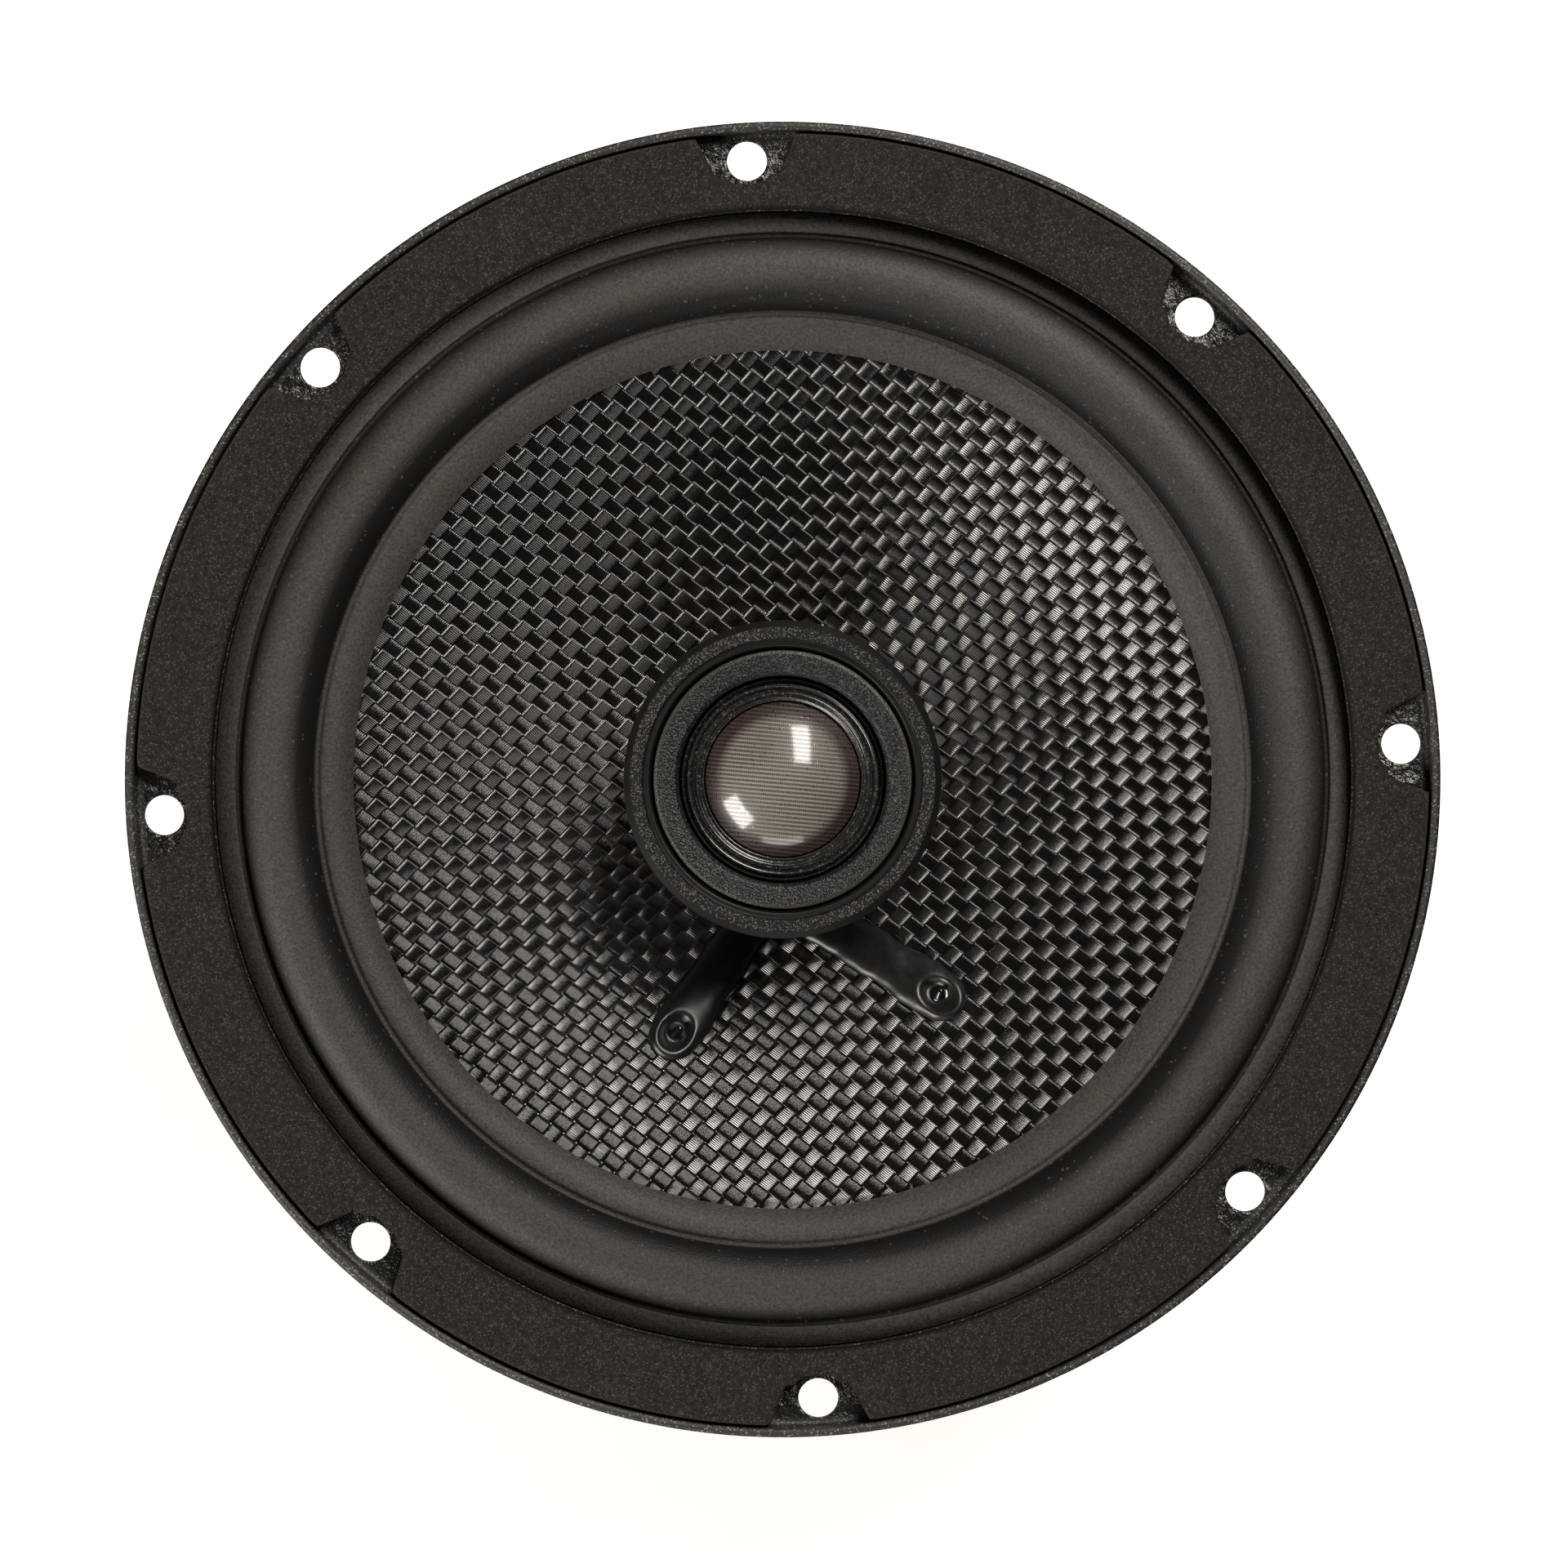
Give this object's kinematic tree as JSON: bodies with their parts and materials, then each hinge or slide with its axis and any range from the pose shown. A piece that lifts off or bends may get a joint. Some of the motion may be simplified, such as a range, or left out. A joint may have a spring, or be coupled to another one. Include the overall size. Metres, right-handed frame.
{
  "type": "coaxial car speaker",
  "caption": "Round coaxial car loudspeaker: woven-fibre cone with rubber surround, dome tweeter on a centre post, ferrite magnet and side terminals.",
  "frame": {"origin": "on the speaker's axis, at the rear face of the rubber magnet boot", "axes": "+Z along the speaker's axis towards the listener; the terminal board is on the -Y side; a screw hole lies on +X and on +Y"},
  "size_m": [0.165, 0.165, 0.0658],
  "materials": {
    "powder_coated_steel": "satin",
    "gasket_foam": "matte",
    "surround_rubber": "satin",
    "woven_fibre": "gloss",
    "kapton_former": "gloss",
    "copper_wire": "gloss",
    "spider_cloth": "matte",
    "zinc_steel": "satin",
    "ferrite": "matte",
    "boot_rubber": "matte",
    "black_plastic": "satin",
    "roll_film": "gloss",
    "dome_cloth": "gloss",
    "nickel": "polished",
    "dressing_glue": "gloss",
    "solder_brass": "satin",
    "tinned_metal": "satin",
    "phenolic_board": "matte",
    "red_sleeve": "satin",
    "black_sleeve": "satin",
    "capacitor_sleeve": "gloss"
  },
  "bodies": {
    "basket_assembly": {"basket": "powder_coated_steel", "front_gasket": "gasket_foam", "surround": "surround_rubber", "spider": "spider_cloth", "top_plate": "zinc_steel", "magnet": "ferrite", "t_yoke": "zinc_steel", "magnet_boot": "boot_rubber", "basket_rivet_1": "zinc_steel", "basket_rivet_2": "zinc_steel", "basket_rivet_3": "zinc_steel", "basket_rivet_4": "zinc_steel", "tweeter_post": "black_plastic", "post_nut": "zinc_steel", "tweeter_housing": "black_plastic", "tweeter_bezel": "black_plastic", "tweeter_yoke": "zinc_steel", "tweeter_magnet": "nickel", "tweeter_top_plate": "zinc_steel", "tweeter_roll": "roll_film", "terminal_board": "phenolic_board", "terminal_positive": "tinned_metal", "terminal_negative": "tinned_metal", "terminal_rivet_positive": "solder_brass", "terminal_rivet_negative": "solder_brass", "board_rivet": "zinc_steel", "tinsel_lead_negative": "tinned_metal", "tinsel_lead_positive": "tinned_metal", "tweeter_wire_positive": "red_sleeve", "tweeter_wire_negative": "black_sleeve", "crossover_capacitor": "capacitor_sleeve", "capacitor_lead": "tinned_metal"},
    "cone_assembly": {"cone": "woven_fibre", "voice_coil_former": "kapton_former", "voice_coil_winding": "copper_wire", "lead_dressing_left": "dressing_glue", "lead_dressing_right": "dressing_glue", "lead_eyelet_left": "solder_brass", "lead_eyelet_right": "solder_brass"},
    "tweeter_diaphragm": {"tweeter_dome": "dome_cloth", "tweeter_coil": "copper_wire"}
  },
  "joints": [
    {"name": "cone_travel", "type": "slide", "parent": "basket_assembly", "child": "cone_assembly", "axis": [0, 0, 1], "range_m": [-0.004, 0.004], "stiffness_N_per_m": 1500, "deforming": ["surround", "spider", "tinsel_lead_negative", "tinsel_lead_positive"]},
    {"name": "tweeter_travel", "type": "slide", "parent": "basket_assembly", "child": "tweeter_diaphragm", "axis": [0, 0, 1], "range_m": [-0.0003, 0.0003], "stiffness_N_per_m": 75, "deforming": ["tweeter_roll"]}
  ]
}
